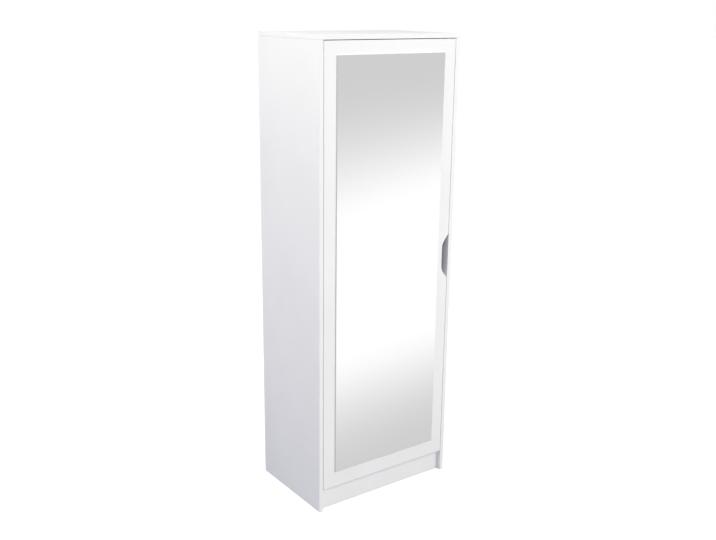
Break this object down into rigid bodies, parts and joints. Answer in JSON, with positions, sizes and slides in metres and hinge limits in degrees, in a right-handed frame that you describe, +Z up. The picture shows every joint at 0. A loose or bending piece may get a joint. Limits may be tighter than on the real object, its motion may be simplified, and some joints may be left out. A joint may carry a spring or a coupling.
{
  "type": "shoe cabinet with mirror",
  "caption": "Tall white shoe cabinet with shelves behind one inset door that carries a full-length mirror, hung on concealed hinges and pulled open by a notch in its edge.",
  "frame": {"origin": "on the floor, under the middle of the cabinet's overall box", "axes": "+Z up, the mirror door faces -Y, +X to the right seen from the front, hinges on -X"},
  "size_m": [0.6, 0.3994, 1.72],
  "materials": {
    "melamine": "white melamine on chipboard, satin",
    "hardboard": "white-faced hardboard",
    "mirror": "silvered float glass",
    "steel": "nickel plated",
    "plastic": "moulded, matt",
    "magnet": "dark pole plates"
  },
  "bodies": {
    "carcass": {"back_panel": "hardboard", "bottom_panel": "melamine", "catch_housing": "plastic", "catch_magnet": "magnet", "fixed_shelf": "melamine", "hinge_arm_1": "steel", "hinge_arm_2": "steel", "hinge_arm_3": "steel", "hinge_arm_4": "steel", "hinge_plate_1": "steel", "hinge_plate_2": "steel", "hinge_plate_3": "steel", "hinge_plate_4": "steel", "hinge_screw_1": "steel", "hinge_screw_2": "steel", "hinge_screw_3": "steel", "hinge_screw_4": "steel", "plinth_board": "melamine", "shelf_1": "melamine", "shelf_2": "melamine", "shelf_3": "melamine", "shelf_4": "melamine", "shelf_5": "melamine", "shelf_pin_1_left_front": "steel", "shelf_pin_1_left_rear": "steel", "shelf_pin_1_right_front": "steel", "shelf_pin_1_right_rear": "steel", "shelf_pin_2_left_front": "steel", "shelf_pin_2_left_rear": "steel", "shelf_pin_2_right_front": "steel", "shelf_pin_2_right_rear": "steel", "shelf_pin_3_left_front": "steel", "shelf_pin_3_left_rear": "steel", "shelf_pin_3_right_front": "steel", "shelf_pin_3_right_rear": "steel", "shelf_pin_4_left_front": "steel", "shelf_pin_4_left_rear": "steel", "shelf_pin_4_right_front": "steel", "shelf_pin_4_right_rear": "steel", "shelf_pin_5_left_front": "steel", "shelf_pin_5_left_rear": "steel", "shelf_pin_5_right_front": "steel", "shelf_pin_5_right_rear": "steel", "side_panel_left": "melamine", "side_panel_right": "melamine", "top_panel": "melamine"},
    "door": {"catch_strike": "steel", "door_panel": "melamine", "hinge_cup_1": "steel", "hinge_cup_2": "steel", "hinge_cup_3": "steel", "hinge_cup_4": "steel", "hinge_pin_1": "steel", "hinge_pin_2": "steel", "hinge_pin_3": "steel", "hinge_pin_4": "steel", "mirror_glass": "mirror"}
  },
  "joints": [
    {"name": "door_hinge", "type": "hinge", "parent": "carcass", "child": "door", "pos_m": [-0.26991, -0.18815, 0.9], "axis": [0, 0, -1], "range_deg": [0, 95]}
  ]
}
